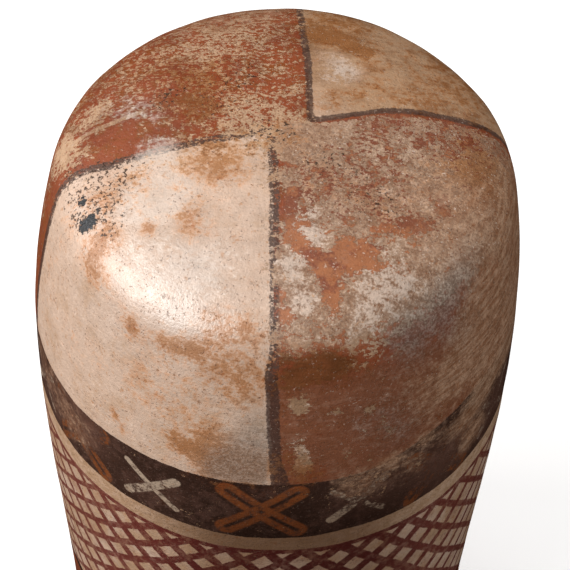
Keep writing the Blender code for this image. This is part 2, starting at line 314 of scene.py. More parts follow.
class Shade:
    """One value of a material. Sums of shades add the nodes that work them out."""

    def __init__(self, tree, socket):
        self.tree = tree
        self.socket = socket

    def math(self, operation, *others):
        node = self.tree.nodes.new("ShaderNodeMath")
        node.operation = operation
        for entry, term in zip(node.inputs, (self,) + others):
            feed(self.tree, entry, term)
        return Shade(self.tree, node.outputs[0])

    def vector(self, operation, other, entry=1):
        node = self.tree.nodes.new("ShaderNodeVectorMath")
        node.operation = operation
        feed(self.tree, node.inputs[0], self)
        feed(self.tree, node.inputs[entry], other)
        return Shade(self.tree, node.outputs["Vector"])

    def __add__(self, other):
        return self.math("ADD", other)

    def __sub__(self, other):
        return self.math("SUBTRACT", other)

    def __mul__(self, other):
        return self.math("MULTIPLY", other)

    def __neg__(self):
        return self.math("MULTIPLY", -1.0)

    def __abs__(self):
        return self.math("ABSOLUTE")

    def least(self, other):
        return self.math("MINIMUM", other)

    def most(self, other):
        return self.math("MAXIMUM", other)

    def rises(self, low, high):
        """0 below low, 1 above high, and smooth between."""
        node = self.tree.nodes.new("ShaderNodeMapRange")
        node.interpolation_type = "SMOOTHSTEP"
        feed(self.tree, node.inputs["Value"], self)
        feed(self.tree, node.inputs["From Min"], low)
        feed(self.tree, node.inputs["From Max"], high)
        return Shade(self.tree, node.outputs["Result"])

    def flipped(self):
        """1 where this is 0, and 0 where it is 1."""
        return (-self) + 1.0

    def falls(self, low, high):
        """1 below low, 0 above high, and smooth between."""
        return self.rises(low, high).flipped()

    def reaches(self, edge, soft=0.15):
        """0 before an edge and 1 past it."""
        return (self - edge).rises(-soft, soft)

    def scaled(self, factor):
        """A vector or a colour times one number."""
        return self.vector("SCALE", factor, "Scale")

    def moved(self, offset):
        """A vector plus a vector."""
        return self.vector("ADD", offset)

    def stretched(self, factors):
        """A vector times a vector, axis by axis."""
        return self.vector("MULTIPLY", factors)

    def parts(self):
        """The three numbers of a vector."""
        node = self.tree.nodes.new("ShaderNodeSeparateXYZ")
        feed(self.tree, node.inputs[0], self)
        return [Shade(self.tree, output) for output in node.outputs]


def feed(tree, entry, term):
    """Link a shade to a socket, or set the socket's own value to a number or a colour."""
    if isinstance(term, Shade):
        tree.links.new(term.socket, entry)
    elif entry.type == "RGBA" and len(term) == 3:
        entry.default_value = (*term, 1.0)
    else:
        entry.default_value = term


def noise_node(place, size, detail, rough=0.5):
    node = place.tree.nodes.new("ShaderNodeTexNoise")
    feed(place.tree, node.inputs["Vector"], place)
    node.inputs["Scale"].default_value = 1.0 / size
    node.inputs["Detail"].default_value = detail
    node.inputs["Roughness"].default_value = rough
    return node


def noise(place, size, detail, rough):
    """Cloudy noise whose blobs are about size across, from 0 to 1 around 0.5."""
    return Shade(place.tree, noise_node(place, size, detail, rough).outputs["Fac"])


def drift(place, size, reach):
    """A vector that wanders by up to about reach each way, over about size."""
    colour = Shade(place.tree, noise_node(place, size, 1.0).outputs["Color"])
    return colour.moved((-0.5, -0.5, -0.5)).scaled(2.0 * reach)


def field(tree, name):
    """One of the soft fields that the mesh carries."""
    node = tree.nodes.new("ShaderNodeAttribute")
    node.attribute_name = name
    return Shade(tree, node.outputs["Fac"])


def lay(under, over, cover):
    """One colour over another, by its cover from 0 to 1."""
    tree = cover.tree
    node = tree.nodes.new("ShaderNodeMix")
    node.data_type = "RGBA"
    factor, *_ = node.inputs
    first, second = [entry for entry in node.inputs if entry.type == "RGBA"]
    feed(tree, factor, cover)
    feed(tree, first, under)
    feed(tree, second, over)
    result = next(output for output in node.outputs if output.type == "RGBA")
    return Shade(tree, result)


def new_material(name):
    material = bpy.data.materials.new(name)
    material.use_nodes = True
    return material, material.node_tree, material.node_tree.nodes["Principled BSDF"]


def place_in_millimetres(tree):
    node = tree.nodes.new("ShaderNodeTexCoord")
    return Shade(tree, node.outputs["Object"]).scaled(1.0 / MILLIMETRE)


def add_relief(tree, shader, height, strength, distance):
    """Fine relief that only the shading shows, from a height."""
    bump = tree.nodes.new("ShaderNodeBump")
    bump.inputs["Strength"].default_value = strength
    bump.inputs["Distance"].default_value = distance
    feed(tree, bump.inputs["Height"], height)
    tree.links.new(bump.outputs["Normal"], shader.inputs["Normal"])


def length_prop(name, description, default):
    return FloatProperty(name=name, description=description, default=default, unit="LENGTH")


def colour_prop(name, description, default):
    return FloatVectorProperty(
        name=name, description=description, default=default, subtype="COLOR")


# The sizes and colours that a user would change


class VesselShape(bpy.types.PropertyGroup):
    widest_depth: length_prop("Widest depth", "From the base down to the widest ring", 0.066)
    mouth_radius: length_prop("Mouth radius", "Outer radius at the mouth", 0.057)
    base_line_radius: length_prop(
        "Base line radius", "Radius of the unrounded wall line at the base", 0.0567)
    shoulder_depth: length_prop("Shoulder depth", "How far down the rounded shoulder reaches", 0.0307)
    base_flatness: FloatProperty(
        name="Base flatness", description="Exponent that keeps the base flat", default=6.1)
    shoulder_fullness: FloatProperty(
        name="Shoulder fullness", description="Exponent that fills the shoulder", default=1.9)
    worn_flat_radius: length_prop("Worn flat", "Radius of the flat worn on the base", 0.0122)
    wall: length_prop("Wall", "Thickness of the wall", 0.005)
    base_thickness: length_prop("Base thickness", "Thickness of the base at its centre", 0.007)
    rim_round: length_prop("Rim rounding", "Radius of the rim's edges", 0.0016)
    unevenness: length_prop("Unevenness", "How far the hand-built wall wanders in and out", 0.0004)
    base_lean: length_prop(
        "Base lean", "How far the base sits to the right of the mouth's axis", 0.0011)
    columns: IntProperty(name="Columns", description="Points around", default=360)
    outer_rows: IntProperty(name="Outer rows", description="Points down the outside", default=200)
    inner_rows: IntProperty(name="Inner rows", description="Points up the inside", default=46)


class VesselPaint(bpy.types.PropertyGroup):
    red_slip: colour_prop("Red slip", "Brick red of two quarters of the base", (0.30, 0.074, 0.027))
    dark_red: colour_prop("Dark red", "The red slip where it lies thick", (0.175, 0.042, 0.018))
    burnt_red: colour_prop(
        "Burnt red", "The red slip where the fire turned it orange brown", (0.25, 0.076, 0.016))
    wall_red: colour_prop("Wall red", "The browned red slip of the front wall", (0.25, 0.094, 0.046))
    cream_slip: colour_prop(
        "Cream slip", "Pinkish cream of the other two quarters", (0.665, 0.475, 0.36))
    tan_slip: colour_prop("Aged cream", "Cream slip where age has turned it tan", (0.50, 0.305, 0.18))
    brown_slip: colour_prop(
        "Browned cream", "Cream slip and clay where they are stained brown", (0.31, 0.165, 0.085))
    outline: colour_prop("Outline", "Purplish brown of the quarters' outlines", (0.11, 0.062, 0.046))
    band: colour_prop("Band", "Dark brown of the band", (0.042, 0.018, 0.011))
    faded_band: colour_prop("Faded band", "The band where it lies thin", (0.085, 0.040, 0.028))
    orange: colour_prop("Orange", "Every other cross", (0.29, 0.080, 0.017))
    net: colour_prop("Net red", "Dark red of the net's lines", (0.13, 0.014, 0.011))
    crust_dark: colour_prop(
        "Dark crust", "Dark grains of the crust on the front red quarter", (0.27, 0.138, 0.078))
    crust_pale: colour_prop(
        "Pale crust", "Pale grains of the crust on the front red quarter", (0.47, 0.305, 0.205))
    bare_clay: colour_prop("Bare clay", "Clay where the slip has gone", (0.56, 0.36, 0.225))


class StageLook(bpy.types.PropertyGroup):
    distance: length_prop("Camera distance", "From the aim point", 0.78)
    elevation: FloatProperty(
        name="Camera elevation", description="Above the horizon",
        default=math.radians(49.79), subtype="ANGLE")
    roll: FloatProperty(
        name="Camera roll", description="Turn about the view line",
        default=math.radians(2.33), subtype="ANGLE")
    aim_right: length_prop("Aim to the right", "Aim point's distance right of the axis", 0.00248)
    aim_depth: length_prop("Aim depth", "Aim point's depth below the base", 0.0587)
    focal_pixels: FloatProperty(
        name="Focal length", description="In pixels of the 570 pixel picture", default=2904.0)
    side_power: FloatProperty(
        name="Side light", description="Power of the long soft light on the left, in watts",
        default=13.0)
    top_power: FloatProperty(
        name="Top light", description="Power of the soft light above, in watts", default=3.8)
    fill_power: FloatProperty(
        name="Fill light", description="Power of the wide weak light on the right, in watts",
        default=4.0)
    ambient: FloatProperty(
        name="Ambient", description="Strength of the even light from all round", default=0.20)
    light_colour: colour_prop("Light colour", "Slightly warm white", (1.0, 0.975, 0.952))


# The vessel's form


def wall_line(depth, shape, height, widest):
    """Outer radius of the wall line at depths below the base: a parabola down to the widest
    ring, then half a cosine wave down to the mouth."""
    above = (shape.widest_depth - depth) / shape.widest_depth
    below = np.clip((depth - shape.widest_depth) / (height - shape.widest_depth), 0.0, 1.0)
    swelling = widest - (widest - shape.base_line_radius) * above ** 2
    narrowing = widest - (widest - shape.mouth_radius) * (1 - np.cos(np.pi * below)) / 2
    return np.where(depth < shape.widest_depth, swelling, narrowing)


def outer_line(shape, height, widest, steps=4000):
    """Dense outer outline (radius, height) from the worn flat's edge to the rim's rounding.

    Down to the shoulder's foot it is a superellipse: depth goes as 1 - cos ** (2 / flatness) of
    an angle and the wall line is scaled by sin ** (2 / fullness). Below it is the wall line."""
    angle = np.pi / 2 * (1 - (1 - np.linspace(0, 1, steps)) ** (shape.base_flatness / 2))
    depth = shape.shoulder_depth * (1 - np.cos(angle) ** (2 / shape.base_flatness))
    radius = wall_line(depth, shape, height, widest) * np.sin(angle) ** (2 / shape.shoulder_fullness)
    kept = radius >= shape.worn_flat_radius
    first_depth = depth[kept][0]
    wall_depth = np.linspace(shape.shoulder_depth, height + first_depth - shape.rim_round, steps)[1:]
    depth = np.concatenate([depth[kept], wall_depth])
    radius = np.concatenate([radius[kept], wall_line(wall_depth, shape, height, widest)])
    return radius, height + first_depth - depth


def quarter_turn(centre_radius, rim_round, start):
    """Points of a rim edge: a quarter circle that turns clockwise from a start angle."""
    angle = start - np.linspace(0, np.pi / 2, RIM_ROWS)
    return centre_radius + rim_round * np.cos(angle), rim_round + rim_round * np.sin(angle)


def evenly(radius, height, count):
    """The same outline with count points at even steps of its length."""
    way = np.concatenate([[0], np.cumsum(np.hypot(np.diff(radius), np.diff(height)))])
    even = np.linspace(0, way[-1], count)
    return np.interp(even, way, radius), np.interp(even, way, height)


def slope_of(radius, level):
    """Unit direction out of the surface at every row of a half section: the direction along it,
    turned by a right angle."""
    along_radius, along_level = np.gradient(radius), np.gradient(level)
    length = np.hypot(along_radius, along_level)
    return -along_level / length, along_radius / length


def half_section(shape, height, widest):
    """Half section of the vessel, and the row where its inside begins.

    It runs from the base's centre down the outside, round the rim and up the inside. The inner
    outline lies inside the outer one, square to it, by a thickness that grows from the wall's
    to the base's with the square of how far the surface faces up."""
    radius, level = outer_line(shape, height, widest)
    outwards, upwards = slope_of(radius, level)
    thickness = shape.wall + (shape.base_thickness - shape.wall) * upwards ** 2
    inner_radius = (radius - thickness * outwards)[::-1]
    inner_level = (level - thickness * upwards)[::-1]
    flat = np.linspace(0.02, 0.96, FLAT_ROWS) * shape.worn_flat_radius
    base, base_inside = (np.full(FLAT_ROWS, top) for top in (height, height - shape.base_thickness))
    outer = evenly(
        np.concatenate([flat, radius]), np.concatenate([base, level]), shape.outer_rows)
    inner = evenly(
        np.concatenate([inner_radius, flat[::-1]]), np.concatenate([inner_level, base_inside]),
        shape.inner_rows)
    edge_out = quarter_turn(shape.mouth_radius - shape.rim_round, shape.rim_round, 0.0)
    edge_in = quarter_turn(
        shape.mouth_radius - shape.wall + shape.rim_round, shape.rim_round, -np.pi / 2)
    pieces = (outer, [part[1:] for part in edge_out], edge_in, [part[1:] for part in inner])
    radius = np.concatenate([part[0] for part in pieces])
    level = np.concatenate([part[1] for part in pieces])
    inside_row = shape.outer_rows + 2 * RIM_ROWS - 1
    return radius, level, inside_row


def ripple(turn, level, waves, seed):
    """Sum of waves around and up the wall, from -1 to 1: each has a whole number of crests
    around, a length up the wall and a start that the seed draws."""
    draw = np.random.default_rng(seed)
    total = np.zeros_like(turn)
    for crests, wavelength, share in waves:
        start, lean = draw.uniform(0, 2 * np.pi, 2)
        total += share * np.sin(crests * turn + start) * np.cos(2 * np.pi * level / wavelength + lean)
    return total


def hand_built(turn, level, shape):
    """How far the outside stands out of the true turned form: slow bulges, and the finer
    facets that a burnishing stone leaves."""
    bulges = ripple(turn, level, ((1, 0.31, 0.3), (2, 0.24, 0.5), (3, 0.13, 0.35)), 5)
    facets = ripple(turn, level, ((17, 0.037, 0.10), (29, 0.021, 0.07), (11, 0.016, 0.06)), 8)
    return shape.unevenness * (bulges + facets)


def grid_faces(rows, columns):
    """Corner numbers of the quads between neighbouring rows of a closed ring of columns."""
    row = np.arange(rows - 1)[:, None]
    column = np.arange(columns)[None, :]
    after = (column + 1) % columns
    corners = [row * columns + column, (row + 1) * columns + column]
    corners += [(row + 1) * columns + after, row * columns + after]
    return np.stack(np.broadcast_arrays(*corners), axis=-1).reshape(-1, 4)


def fan_faces(centre, ring, outwards):
    """Triangles from a centre point to a ring of points."""
    after = np.roll(ring, -1)
    middle = np.full(len(ring), centre)
    order = (middle, ring, after) if outwards else (middle, after, ring)
    return np.stack(order, axis=-1)


def patches(points, spots, most=1.0):
    """Soft field from 0 to most at points in millimetres: the sum of round patches, each fading
    as a bell curve of its size, with its strength in hundredths."""
    total = np.zeros(len(points))
    for x, y, depth, size, strength in spots:
        away = ((points - np.array([x, y, depth])) ** 2).sum(axis=1)
        total += strength / 100 * np.exp(-away / (2 * size ** 2))
    return np.clip(total, 0.0, most)


def smooth_rise(value, low, high):
    """0 below low, 1 above high, and smooth between, for whole arrays."""
    share = np.clip((value - low) / (high - low), 0.0, 1.0)
    return share * share * (3 - 2 * share)


def set_field(mesh, name, values):
    attribute = mesh.attributes.new(name, "FLOAT", "POINT")
    attribute.data.foreach_set("value", np.asarray(values, np.float32))


def add_soft_fields(mesh, points):
    """Wear, smoke with some painted shade, stains, lime with some painted highlight, and crusts at every
    point, from the patches.

    The worn field starts from the two red quarters: the one at the front right has lost most of
    its slip down to the shoulder, the one at the back left less of it."""
    x, y, depth = points.T
    right_line = RIGHT_LINE_Y + RIGHT_LINE_STEP * smooth_rise(x, RIGHT_LINE_FROM, RIGHT_LINE_TO)
    front_right = smooth_rise(x, -3, 2) * smooth_rise(right_line - y, 0.8, 2.2)
    shoulder = smooth_rise(depth, 9, 19)
    back_left = smooth_rise(-x, -8, -4) * smooth_rise(y, -10, -4)
    back_left *= 1 - 0.35 * smooth_rise(y, 38, 52)
    worn = front_right * (0.61 - 0.62 * shoulder)
    worn += 0.36 * back_left * (1 - smooth_rise(depth, 20, 60))
    worn += patches(points, WORN_PATCHES) - 0.85 * patches(points, KEPT_PATCHES)
    set_field(mesh, "worn", np.clip(worn, -0.4, 1))
    set_field(mesh, "crusted", front_right * (1 - shoulder))
    for name, spots in SOFT_FIELDS.items():
        set_field(mesh, name, patches(points, spots))


def cross_map(face_turn, corner_turn, corner_depth):
    """UV map of the crosses. Every face goes by the cross nearest to it: U is the cross's number
    in steps of CROSS_STEP, plus the arc from the cross's centre at the band's radius, and V is
    the depth below the base, both in millimetres."""
    known = np.array(CROSS_TURNS, float)
    away = (face_turn[:, None] - known[None, :] + 180) % 360 - 180
    number = np.abs(away).argmin(axis=1)
    from_centre = (corner_turn - known[number] + 180) % 360 - 180
    arc = np.radians(from_centre) * BAND_RADIUS
    return np.column_stack([number * CROSS_STEP + arc, corner_depth]).astype(np.float32)


def vessel_points(shape, height, widest):
    """All points of the closed surface, ring by ring, and the row where the inside begins."""
    radius, level, inside_row = half_section(shape, height, widest)
    rows, columns = len(radius), shape.columns
    turn = np.linspace(-np.pi, np.pi, columns, endpoint=False)
    turns = np.broadcast_to(turn, (rows, columns))
    levels = np.broadcast_to(level[:, None], (rows, columns))
    radii = np.broadcast_to(radius[:, None], (rows, columns))
    outwards, upwards = (part[:, None] for part in slope_of(radius, level))
    outside = (np.arange(rows) < inside_row)[:, None]
    fade = outside * smooth_rise(levels, *UNEVEN_FROM_HEIGHT) * smooth_rise(radii, *UNEVEN_FROM_RADIUS)
    flat = np.stack([radii * np.sin(turns), -radii * np.cos(turns), height - levels], axis=-1)
    hollows = patches(flat.reshape(-1, 3) / MILLIMETRE, DENTS, most=0.8).reshape(rows, columns)
    move = fade * (hand_built(turns, levels, shape) - hollows * MILLIMETRE)
    radii = radii + move * outwards
    radii *= widest / radii.max()
    levels = np.minimum(levels + move * upwards, height)
    lean = shape.base_lean * (1 - smooth_rise(height - levels, *LEAN_DEPTHS))
    points = np.stack([radii * np.sin(turns) + lean, -radii * np.cos(turns), levels], axis=-1)
    return points.reshape(-1, 3), rows, inside_row


def make_vessel_mesh(shape):
    height = CAD_HIGH[2]
    points, rows, inside_row = vessel_points(shape, height, CAD_HIGH[0])
    columns = shape.columns
    base_centre = [shape.base_lean, 0.0, height]
    inner_centre = [shape.base_lean, 0.0, height - shape.base_thickness]
    points = np.concatenate([points, [base_centre], [inner_centre]])
    quads = grid_faces(rows, columns)
    first_ring = np.arange(columns)
    last_ring = (rows - 1) * columns + first_ring
    top = fan_faces(rows * columns, first_ring, True)
    floor = fan_faces(rows * columns + 1, last_ring, False)
    faces = quads.tolist() + top.tolist() + floor.tolist()
    mesh = bpy.data.meshes.new("painted_vessel")
    mesh.from_pydata(points.tolist(), [], faces)
    inside_face = np.zeros(len(faces), np.int32)
    inside_face[inside_row * columns:len(quads)] = 1
    inside_face[len(quads) + columns:] = 1
    mesh.polygons.foreach_set("material_index", inside_face)
    mesh.polygons.foreach_set("use_smooth", np.ones(len(faces), bool))
    below = np.column_stack([points[:, 0], points[:, 1], height - points[:, 2]]) / MILLIMETRE
    add_soft_fields(mesh, below)
    corner_points = np.empty(len(mesh.loops), np.int32)
    mesh.loops.foreach_get("vertex_index", corner_points)
    corner_turn = np.degrees(np.arctan2(points[corner_points, 0], -points[corner_points, 1]))
    corners_of = np.empty(len(faces), np.int32)
    mesh.polygons.foreach_get("loop_total", corners_of)
    starts = np.concatenate([[0], np.cumsum(corners_of)[:-1]])
    face_turn = np.repeat(corner_turn[starts], corners_of)
    layer = mesh.uv_layers.new(name="crosses")
    across = cross_map(face_turn, corner_turn, below[corner_points, 2])
    layer.data.foreach_set("uv", across.ravel())
    mesh.update()
    return mesh


# The vessel's finish


def surface_looks(tree, place):
    """Noises and soft fields that the layers of the finish share."""
    looks = SimpleNamespace(
        clouds=noise(place, 11.0, 4.0, 0.6),
        mottle=noise(place, 2.8, 6.0, 0.7),
        grain=noise(place, 0.7, 2.0, 0.6),
        flecks=noise(place.stretched((0.75, 1.0, 1.0)), 1.1, 5.0, 0.70),
        scabs=noise(place, 4.5, 6.0, 0.7),
        brushed=noise(place.stretched((0.22, 1.3, 0.7)), 1.6, 3.0, 0.6),
        streaks=noise(place.stretched((0.3, 0.3, 2.2)), 2.4, 3.0, 0.6),
        dashes=noise(place.stretched((0.5, 1.0, 1.0)), 0.65, 3.0, 0.6),
        blots=noise(place.moved((7.0, 3.0, 1.0)), 1.9, 4.0, 0.65),
        holes=noise(place.moved((3.0, 9.0, 5.0)), 0.75, 2.0, 0.6),
        crumbs=noise(place.moved((1.0, 4.0, 8.0)), 0.8, 2.0, 0.6),
        scatter=noise(place.moved((5.0, 5.0, 5.0)), 0.95, 3.0, 0.6),
        veins=abs(noise(place, 1.3, 3.0, 0.6) - 0.5).falls(0.010, 0.035),
        fray=noise(place, 1.0, 4.0, 0.7) - 0.5,
        **{name: field(tree, name) for name in ("worn", "crusted", *SOFT_FIELDS)})
    looks.patchy = looks.mottle * 0.8 + looks.clouds * 0.4 + looks.flecks * 0.8 - 1.0
    return looks


def quarter_edges(at):
    """Signed distances to the two cream quarters, in millimetres, below zero inside.

    Each quarter lies behind two hand-drawn lines, so its distance is the greater of the two. The
    front line leans to the right on its way down, but for a step to the left under the
    shoulder. The left line levels out behind the black specks and drops down the wall."""
    front_line = abs(at.y) * 0.036 + at.depth * 0.048 + -2.3
    front_line = front_line - at.depth.rises(12.0, 23.0) * 1.5 + at.depth.rises(50.0, 62.0) * 0.35
    left_line = (at.x * 0.27 + 2.37).most(-9.2) - at.depth.rises(5.0, 18.0) * 5.0
    front_left = (at.x - front_line).most(at.y - left_line)
    back_line = at.y * -0.085 + 8.0
    right_line = at.x.rises(RIGHT_LINE_FROM, RIGHT_LINE_TO) * RIGHT_LINE_STEP + RIGHT_LINE_Y
    back_right = (back_line - at.x).most(right_line - at.y)
    return front_left, back_right


def crosses_drawn(tree, fray):
    """Cover of the crosses' strokes and whether each is an orange one.

    An orange cross has two long loops: strokes about the edges of bars with round ends. A cream
    one has a thin stroke across a broad one. A share of each cross's number sets it a little
    off, as a hand does."""
    node = tree.nodes.new("ShaderNodeUVMap")
    node.uv_map = "crosses"
    across, depth, _ = Shade(tree, node.outputs["UV"]).parts()
    number = (across * (1.0 / CROSS_STEP) + 0.5).math("FLOOR")
    across = across - number * CROSS_STEP
    orange = (number * 0.5).math("FRACT").rises(0.2, 0.3)
    chance = (number * 0.618 + 0.1).math("FRACT") - 0.5
    down = depth - CROSS_DEPTH - chance * 1.2
    half_length = orange * LOOP_EXTRA_LENGTH + CROSS_HALF_LENGTH
    cosine, sine = math.cos(CROSS_LEAN), math.sin(CROSS_LEAN)
    cores = []
    for side in (1.0, -1.0):
        along = across * cosine + down * (side * sine)
        aside = down * cosine - across * (side * sine) + chance * side
        beyond = (abs(along) - half_length).most(0.0)
        cores.append((beyond * beyond + aside * aside).math("SQRT") + fray * 0.5)
    first, second = cores
    loops = abs(first - LOOP_RADIUS).least(abs(second - LOOP_RADIUS)).falls(0.70, 1.60)
    cream = first.falls(0.75, 1.15).most(second.falls(1.25, 1.7))
    return cream + (loops - cream) * orange, orange


def net_drawn(at, fray):
    """Cover of the net: two families of lines that climb round the wall both ways, forty to a
    turn, set closer down the wall on the side that each family comes from, broadest in front."""
    share = at.turn * (NET_LINES / (2.0 * math.pi))
    down = at.depth - NET_FIRST_LINE
    leaning = at.turn.math("SINE") * 0.027
    rising = share + down * (-leaning + 0.104)
    falling = down * 0.087 - share
    lines = []
    for phase in (rising, falling):
        away = (abs(phase.math("FRACT") - 0.5) - 0.5) * -NET_SPACING + fray * 0.9
        lines.append((away - abs(at.turn).falls(0.4, 1.2) * 0.55).falls(0.70, 1.10))
    return lines[0].most(lines[1])


def quarters_painted(at, paint, looks):
    """Red and cream slip of the four quarters, and the brown outlines between them. The front
    outline widens under the shoulder and again just above the band."""
    tone = looks.clouds * 0.45 + looks.mottle * 0.35 + looks.brushed * 0.2
    red = lay(paint.red_slip, paint.dark_red, tone.rises(0.44, 0.60) * 0.62)
    red = lay(red, paint.burnt_red, looks.scabs.rises(0.46, 0.58) * 0.66)
    wall = (at.depth + looks.clouds * 14.0).rises(24.0, 32.0) * at.x.rises(-5.0, 5.0)
    red = lay(red, paint.wall_red, wall * 0.85)
    rubbed = looks.brushed * 0.5 + looks.mottle * 0.5
    red = lay(red, RUBBED_RED, wall * rubbed.rises(0.50, 0.60) * 0.45)
    red = lay(red, SCORCHED_RED, wall * looks.scabs.rises(0.53, 0.62) * 0.55)

    cream = lay(paint.cream_slip, paint.tan_slip, tone.rises(0.47, 0.60) * 0.62)
    pale = looks.mottle * 0.6 + looks.flecks * 0.4
    cream = lay(cream, PALE_CREAM, pale.rises(0.50, 0.64) * 0.4)
    cream = lay(cream, PEACH_CREAM, looks.scabs.rises(0.50, 0.66) * 0.35)
    aged = lay(paint.tan_slip, paint.brown_slip, tone.rises(0.42, 0.60))
    cream = lay(cream, aged, (at.x * 0.02 + at.y * 0.02 + 0.2).rises(0.3, 0.9))
    front_left, back_right = quarter_edges(at)
    colour = lay(red, cream, (front_left.least(back_right) + looks.fray * 0.8).falls(-0.15, 0.15))

    wider = at.depth.rises(4.0, 24.0) * 0.40 + at.depth.rises(50.0, 62.0) * 0.80
    half_width = wider * at.x.rises(-9.0, -5.0) + 0.30
    away = (abs(front_left - half_width) - half_width).least(abs(back_right))
    line = (away + looks.fray * 1.6).falls(0.75, 1.15)
    chipped = looks.flecks * 0.55 + looks.grain * 0.45 + looks.worn * 0.06
    solid = (at.depth.rises(14.0, 26.0) * 0.92).most(abs(back_right).falls(1.4, 2.0) * 0.88)
    held = chipped.falls(0.50, 0.60).most(solid)
    outline = lay(paint.outline, paint.band, looks.mottle.rises(0.48, 0.62) * 0.7)
    outline = lay(outline, LOW_OUTLINE, at.depth.rises(16.0, 30.0) * 0.85)
    return lay(colour, outline, line * held * 0.95)


def band_painted(colour, at, paint, looks):
    """The dark band, worn brown in places and made lighter towards the right side by painted light, with
    its crosses.
    """
    raised = at.turn.rises(0.35, 1.05) * at.turn.falls(1.6, 2.4)
    band_top = raised * -BAND_RISE_RIGHT + BAND_TOP
    in_band = (at.depth + looks.fray * 0.7).reaches(band_top)
    dark = lay(paint.band, paint.faded_band, (looks.clouds * 0.5 + looks.mottle * 0.5).rises(0.46, 0.62))
    dark = lay(dark, WORN_BAND, looks.faded * 0.7)
    # Painted light: the band's colour is made lighter towards the right side
    colour = lay(colour, dark.scaled(at.turn.rises(0.2, 0.8) * 0.16 + 1.04), in_band)
    strokes, orange = crosses_drawn(colour.tree, looks.fray)
    gone = looks.flecks * 0.6 + looks.mottle * 0.4 + looks.faded * 0.22
    thin = orange * looks.mottle.rises(0.44, 0.62)
    held = gone.falls(0.50, 0.66) * 0.80 * (thin * -0.35 + 1.0)
    cross = lay(CREAM_CROSS, paint.orange, orange)
    cross = lay(cross, paint.burnt_red, looks.mottle.rises(0.5, 0.7) * orange * 0.6)
    return lay(colour, cross, strokes * in_band * held)


def lower_wall_painted(colour, at, paint, looks):
    """The pale stripe, which sags to the front and the back and is darkened in front by painted shade,
    the net under a first line, the thin line at its foot and the plain collar at the mouth."""
    stripe_top = (at.y * at.y) * (STRIPE_SAG / STRIPE_SAG_RADIUS ** 2) + STRIPE_TOP
    pale = lay(paint.tan_slip, paint.cream_slip, looks.mottle.rises(0.42, 0.62) * 0.4)
    # Painted shade: the stripe darkens towards the front
    pale = lay(pale, STRIPE_PAINTED_SHADE, abs(at.turn).falls(0.15, 0.7) * (looks.mottle * 0.5 + 0.38))
    colour = lay(colour, pale, (at.depth + looks.fray * 0.5).reaches(stripe_top))

    patches_of_tan = (looks.clouds * 0.7 + looks.mottle * 0.3).rises(0.35, 0.62)
    ground = lay(paint.cream_slip, paint.tan_slip, patches_of_tan)
    ground = lay(ground, NET_SMEAR, looks.scabs.rises(0.46, 0.62) * 0.35)
    line_colour = lay(paint.net, NET_SIDE_RED, abs(at.turn).rises(0.3, 0.8) * 0.35)
    frayed = at.depth + looks.fray * 0.6
    first_line = (at.depth + looks.fray * 0.9 + looks.mottle * 1.6).reaches(NET_EDGE_LINE, 0.2)
    lines = net_drawn(at, looks.fray).most(first_line.flipped())
    thin = looks.mottle.rises(0.45, 0.65) * -0.25 + 0.97
    colour = lay(colour, lay(ground, line_colour, lines * thin), frayed.reaches(NET_TOP))
    colour = lay(colour, paint.band, frayed.reaches(NET_FOOT, 0.2))
    collar = lay(paint.red_slip, paint.dark_red, looks.clouds.rises(0.45, 0.68))
    return lay(colour, collar, frayed.reaches(COLLAR_TOP, 0.2))


def slip_lost(at, looks):
    """Where the slip has gone, from 0 to 1: flakes, finer behind the middle of the base, and a
    bare strip on the back left quarter, broken up there by crumbs."""
    behind = at.y.rises(0.0, 8.0) * at.x.falls(-2.0, 3.0)
    shed = looks.flecks * 0.58 + looks.scabs * (behind * -0.24 + 0.42) + looks.worn * 0.25
    shed = shed + looks.dashes * behind * 0.24
    strip = abs((at.y - 5.2) - (at.x + 44.5) * 0.40) + looks.fray * 0.8
    strip = strip.falls(0.6, 0.9) * abs(at.x + 46.5).falls(9.5, 12.0) * at.depth.falls(12.0, 14.0)
    lost = shed.rises(0.598, 0.640).most(strip * 0.9)
    crumbly = (looks.flecks * 0.5 + looks.grain * 0.5).rises(0.51, 0.58) * at.y.rises(2.0, 6.0)
    return lost * (crumbly * -0.42 + 1.0)


def islands_kept(colour, at, looks, lost):
    """Orange to brown paint where the front red quarter has kept it."""
    kept = lay(ISLAND_ORANGE, ISLAND_RED, looks.scabs.rises(0.47, 0.60))
    kept = lay(kept, ISLAND_BROWN, at.y.rises(-30.0, -24.0) * looks.mottle.rises(0.38, 0.52))
    return lay(colour, kept, looks.crusted * lost.flipped() * at.x.rises(0.5, 2.0) * 0.85)


def clay_bared(at, paint, looks):
    """Where the slip has gone: pale or brown clay, under a grainy crust with fine pale veins on
    the front red quarter, and lime on top."""
    blend = looks.clouds * 0.4 + looks.mottle * 0.4 + looks.grain * 0.2
    browned = blend.rises(0.45, 0.60).most(at.depth.rises(18.0, 30.0) * 0.75)
    clay = lay(paint.bare_clay, paint.brown_slip, browned)
    grains = looks.mottle * 0.6 + looks.grain * 0.12 + looks.clouds * 0.28
    crust = lay(paint.crust_dark, paint.crust_pale, grains.rises(0.38, 0.60))
    crust = lay(crust, VEIN_PALE, looks.veins * looks.scabs.rises(0.42, 0.60) * 0.5)
    clay = lay(clay, crust, looks.crusted * 0.92)
    # Lime film; its field also carries the painted highlight of the cream quarter
    return lay(clay, LIME_FILM, (looks.lime * 0.25 + grains).rises(0.57, 0.70) * 0.8)


